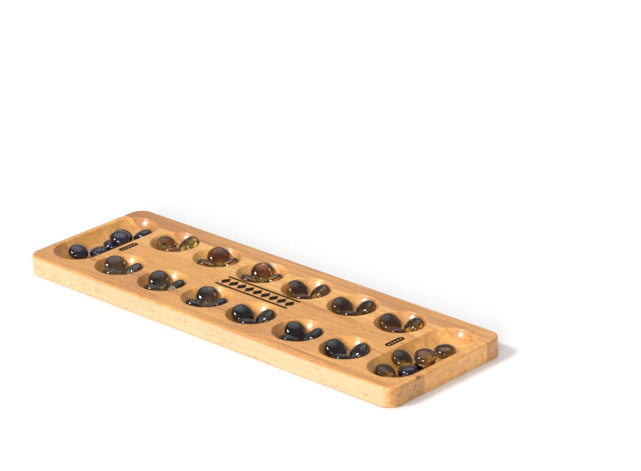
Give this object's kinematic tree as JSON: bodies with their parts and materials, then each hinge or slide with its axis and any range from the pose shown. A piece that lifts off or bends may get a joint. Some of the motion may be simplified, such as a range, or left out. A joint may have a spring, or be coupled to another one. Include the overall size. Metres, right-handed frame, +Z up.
{
  "type": "mancala board",
  "caption": "Long wooden mancala board with rows of bowl-shaped pits, an oval store at each end and flattened glass stones lying loose in the hollows.",
  "frame": {"origin": "centre of the board's underside, on the surface that the board rests on", "axes": "+X along the board towards its right store, +Y towards its back row of pits, +Z up out of the pits"},
  "size_m": [0.431, 0.14, 0.0236],
  "materials": {
    "front_wood": "clear-varnished rubberwood, orange honey, straight grain with darker streaks",
    "mid_front_wood": "clear-varnished rubberwood, light honey, straight grain",
    "mid_back_wood": "clear-varnished rubberwood, light honey, straight grain",
    "back_wood": "clear-varnished rubberwood, orange honey with browner end grain",
    "smoky_glass": "smoky grey glass with a faint lustre",
    "amber_glass": "dark amber glass, yellow where light comes through",
    "blue_black_glass": "blue-black glass with a violet lustre",
    "brown_glass": "dark brown glass, amber where light comes through"
  },
  "bodies": {
    "board": {"front_stave": "front_wood", "mid_front_stave": "mid_front_wood", "mid_back_stave": "mid_back_wood", "back_stave": "back_wood"},
    "back_1_stone_a": {"back_1_stone_a": "amber_glass"},
    "back_1_stone_b": {"back_1_stone_b": "amber_glass"},
    "back_1_stone_c": {"back_1_stone_c": "amber_glass"},
    "back_2_stone_a": {"back_2_stone_a": "amber_glass"},
    "back_2_stone_b": {"back_2_stone_b": "amber_glass"},
    "back_2_stone_c": {"back_2_stone_c": "amber_glass"},
    "back_3_stone_a": {"back_3_stone_a": "amber_glass"},
    "back_3_stone_b": {"back_3_stone_b": "amber_glass"},
    "back_3_stone_c": {"back_3_stone_c": "amber_glass"},
    "back_4_stone_a": {"back_4_stone_a": "amber_glass"},
    "back_4_stone_b": {"back_4_stone_b": "amber_glass"},
    "back_4_stone_c": {"back_4_stone_c": "amber_glass"},
    "back_5_stone_a": {"back_5_stone_a": "amber_glass"},
    "back_5_stone_b": {"back_5_stone_b": "amber_glass"},
    "back_5_stone_c": {"back_5_stone_c": "amber_glass"},
    "back_6_stone_a": {"back_6_stone_a": "amber_glass"},
    "back_6_stone_b": {"back_6_stone_b": "amber_glass"},
    "back_6_stone_c": {"back_6_stone_c": "amber_glass"},
    "front_1_stone_a": {"front_1_stone_a": "smoky_glass"},
    "front_1_stone_b": {"front_1_stone_b": "smoky_glass"},
    "front_1_stone_c": {"front_1_stone_c": "smoky_glass"},
    "front_2_stone_a": {"front_2_stone_a": "smoky_glass"},
    "front_2_stone_b": {"front_2_stone_b": "smoky_glass"},
    "front_2_stone_c": {"front_2_stone_c": "smoky_glass"},
    "front_3_stone_a": {"front_3_stone_a": "smoky_glass"},
    "front_3_stone_b": {"front_3_stone_b": "smoky_glass"},
    "front_3_stone_c": {"front_3_stone_c": "smoky_glass"},
    "front_4_stone_a": {"front_4_stone_a": "smoky_glass"},
    "front_4_stone_b": {"front_4_stone_b": "smoky_glass"},
    "front_4_stone_c": {"front_4_stone_c": "smoky_glass"},
    "front_5_stone_a": {"front_5_stone_a": "smoky_glass"},
    "front_5_stone_b": {"front_5_stone_b": "smoky_glass"},
    "front_5_stone_c": {"front_5_stone_c": "smoky_glass"},
    "front_6_stone_a": {"front_6_stone_a": "smoky_glass"},
    "front_6_stone_b": {"front_6_stone_b": "smoky_glass"},
    "front_6_stone_c": {"front_6_stone_c": "smoky_glass"},
    "left_store_stone_a": {"left_store_stone_a": "blue_black_glass"},
    "left_store_stone_b": {"left_store_stone_b": "blue_black_glass"},
    "left_store_stone_c": {"left_store_stone_c": "blue_black_glass"},
    "left_store_stone_d": {"left_store_stone_d": "blue_black_glass"},
    "left_store_stone_e": {"left_store_stone_e": "blue_black_glass"},
    "left_store_stone_top": {"left_store_stone_top": "blue_black_glass"},
    "right_store_stone_a": {"right_store_stone_a": "brown_glass"},
    "right_store_stone_b": {"right_store_stone_b": "blue_black_glass"},
    "right_store_stone_c": {"right_store_stone_c": "brown_glass"},
    "right_store_stone_d": {"right_store_stone_d": "brown_glass"},
    "right_store_stone_e": {"right_store_stone_e": "brown_glass"},
    "right_store_stone_top": {"right_store_stone_top": "brown_glass"}
  },
  "joints": [
    {"name": "back_1_stone_a_lift", "type": "slide", "parent": "board", "child": "back_1_stone_a", "axis": [0, 0, 1], "range_m": [0, 0.03]},
    {"name": "back_1_stone_b_lift", "type": "slide", "parent": "board", "child": "back_1_stone_b", "axis": [0, 0, 1], "range_m": [0, 0.03]},
    {"name": "back_1_stone_c_lift", "type": "slide", "parent": "board", "child": "back_1_stone_c", "axis": [0, 0, 1], "range_m": [0, 0.03]},
    {"name": "back_2_stone_a_lift", "type": "slide", "parent": "board", "child": "back_2_stone_a", "axis": [0, 0, 1], "range_m": [0, 0.03]},
    {"name": "back_2_stone_b_lift", "type": "slide", "parent": "board", "child": "back_2_stone_b", "axis": [0, 0, 1], "range_m": [0, 0.03]},
    {"name": "back_2_stone_c_lift", "type": "slide", "parent": "board", "child": "back_2_stone_c", "axis": [0, 0, 1], "range_m": [0, 0.03]},
    {"name": "back_3_stone_a_lift", "type": "slide", "parent": "board", "child": "back_3_stone_a", "axis": [0, 0, 1], "range_m": [0, 0.03]},
    {"name": "back_3_stone_b_lift", "type": "slide", "parent": "board", "child": "back_3_stone_b", "axis": [0, 0, 1], "range_m": [0, 0.03]},
    {"name": "back_3_stone_c_lift", "type": "slide", "parent": "board", "child": "back_3_stone_c", "axis": [0, 0, 1], "range_m": [0, 0.03]},
    {"name": "back_4_stone_a_lift", "type": "slide", "parent": "board", "child": "back_4_stone_a", "axis": [0, 0, 1], "range_m": [0, 0.03]},
    {"name": "back_4_stone_b_lift", "type": "slide", "parent": "board", "child": "back_4_stone_b", "axis": [0, 0, 1], "range_m": [0, 0.03]},
    {"name": "back_4_stone_c_lift", "type": "slide", "parent": "board", "child": "back_4_stone_c", "axis": [0, 0, 1], "range_m": [0, 0.03]},
    {"name": "back_5_stone_a_lift", "type": "slide", "parent": "board", "child": "back_5_stone_a", "axis": [0, 0, 1], "range_m": [0, 0.03]},
    {"name": "back_5_stone_b_lift", "type": "slide", "parent": "board", "child": "back_5_stone_b", "axis": [0, 0, 1], "range_m": [0, 0.03]},
    {"name": "back_5_stone_c_lift", "type": "slide", "parent": "board", "child": "back_5_stone_c", "axis": [0, 0, 1], "range_m": [0, 0.03]},
    {"name": "back_6_stone_a_lift", "type": "slide", "parent": "board", "child": "back_6_stone_a", "axis": [0, 0, 1], "range_m": [0, 0.03]},
    {"name": "back_6_stone_b_lift", "type": "slide", "parent": "board", "child": "back_6_stone_b", "axis": [0, 0, 1], "range_m": [0, 0.03]},
    {"name": "back_6_stone_c_lift", "type": "slide", "parent": "board", "child": "back_6_stone_c", "axis": [0, 0, 1], "range_m": [0, 0.03]},
    {"name": "front_1_stone_a_lift", "type": "slide", "parent": "board", "child": "front_1_stone_a", "axis": [0, 0, 1], "range_m": [0, 0.03]},
    {"name": "front_1_stone_b_lift", "type": "slide", "parent": "board", "child": "front_1_stone_b", "axis": [0, 0, 1], "range_m": [0, 0.03]},
    {"name": "front_1_stone_c_lift", "type": "slide", "parent": "board", "child": "front_1_stone_c", "axis": [0, 0, 1], "range_m": [0, 0.03]},
    {"name": "front_2_stone_a_lift", "type": "slide", "parent": "board", "child": "front_2_stone_a", "axis": [0, 0, 1], "range_m": [0, 0.03]},
    {"name": "front_2_stone_b_lift", "type": "slide", "parent": "board", "child": "front_2_stone_b", "axis": [0, 0, 1], "range_m": [0, 0.03]},
    {"name": "front_2_stone_c_lift", "type": "slide", "parent": "board", "child": "front_2_stone_c", "axis": [0, 0, 1], "range_m": [0, 0.03]},
    {"name": "front_3_stone_a_lift", "type": "slide", "parent": "board", "child": "front_3_stone_a", "axis": [0, 0, 1], "range_m": [0, 0.03]},
    {"name": "front_3_stone_b_lift", "type": "slide", "parent": "board", "child": "front_3_stone_b", "axis": [0, 0, 1], "range_m": [0, 0.03]},
    {"name": "front_3_stone_c_lift", "type": "slide", "parent": "board", "child": "front_3_stone_c", "axis": [0, 0, 1], "range_m": [0, 0.03]},
    {"name": "front_4_stone_a_lift", "type": "slide", "parent": "board", "child": "front_4_stone_a", "axis": [0, 0, 1], "range_m": [0, 0.03]},
    {"name": "front_4_stone_b_lift", "type": "slide", "parent": "board", "child": "front_4_stone_b", "axis": [0, 0, 1], "range_m": [0, 0.03]},
    {"name": "front_4_stone_c_lift", "type": "slide", "parent": "board", "child": "front_4_stone_c", "axis": [0, 0, 1], "range_m": [0, 0.03]},
    {"name": "front_5_stone_a_lift", "type": "slide", "parent": "board", "child": "front_5_stone_a", "axis": [0, 0, 1], "range_m": [0, 0.03]},
    {"name": "front_5_stone_b_lift", "type": "slide", "parent": "board", "child": "front_5_stone_b", "axis": [0, 0, 1], "range_m": [0, 0.03]},
    {"name": "front_5_stone_c_lift", "type": "slide", "parent": "board", "child": "front_5_stone_c", "axis": [0, 0, 1], "range_m": [0, 0.03]},
    {"name": "front_6_stone_a_lift", "type": "slide", "parent": "board", "child": "front_6_stone_a", "axis": [0, 0, 1], "range_m": [0, 0.03]},
    {"name": "front_6_stone_b_lift", "type": "slide", "parent": "board", "child": "front_6_stone_b", "axis": [0, 0, 1], "range_m": [0, 0.03]},
    {"name": "front_6_stone_c_lift", "type": "slide", "parent": "board", "child": "front_6_stone_c", "axis": [0, 0, 1], "range_m": [0, 0.03]},
    {"name": "left_store_stone_a_lift", "type": "slide", "parent": "board", "child": "left_store_stone_a", "axis": [0, 0, 1], "range_m": [0, 0.03]},
    {"name": "left_store_stone_b_lift", "type": "slide", "parent": "board", "child": "left_store_stone_b", "axis": [0, 0, 1], "range_m": [0, 0.03]},
    {"name": "left_store_stone_c_lift", "type": "slide", "parent": "board", "child": "left_store_stone_c", "axis": [0, 0, 1], "range_m": [0, 0.03]},
    {"name": "left_store_stone_d_lift", "type": "slide", "parent": "board", "child": "left_store_stone_d", "axis": [0, 0, 1], "range_m": [0, 0.03]},
    {"name": "left_store_stone_e_lift", "type": "slide", "parent": "board", "child": "left_store_stone_e", "axis": [0, 0, 1], "range_m": [0, 0.03]},
    {"name": "left_store_stone_top_lift", "type": "slide", "parent": "left_store_stone_c", "child": "left_store_stone_top", "axis": [0, 0, 1], "range_m": [0, 0.03]},
    {"name": "right_store_stone_a_lift", "type": "slide", "parent": "board", "child": "right_store_stone_a", "axis": [0, 0, 1], "range_m": [0, 0.03]},
    {"name": "right_store_stone_b_lift", "type": "slide", "parent": "board", "child": "right_store_stone_b", "axis": [0, 0, 1], "range_m": [0, 0.03]},
    {"name": "right_store_stone_c_lift", "type": "slide", "parent": "board", "child": "right_store_stone_c", "axis": [0, 0, 1], "range_m": [0, 0.03]},
    {"name": "right_store_stone_d_lift", "type": "slide", "parent": "right_store_stone_b", "child": "right_store_stone_d", "axis": [0, 0, 1], "range_m": [0, 0.03]},
    {"name": "right_store_stone_e_lift", "type": "slide", "parent": "board", "child": "right_store_stone_e", "axis": [0, 0, 1], "range_m": [0, 0.03]},
    {"name": "right_store_stone_top_lift", "type": "slide", "parent": "right_store_stone_d", "child": "right_store_stone_top", "axis": [0, 0, 1], "range_m": [0, 0.03]}
  ]
}
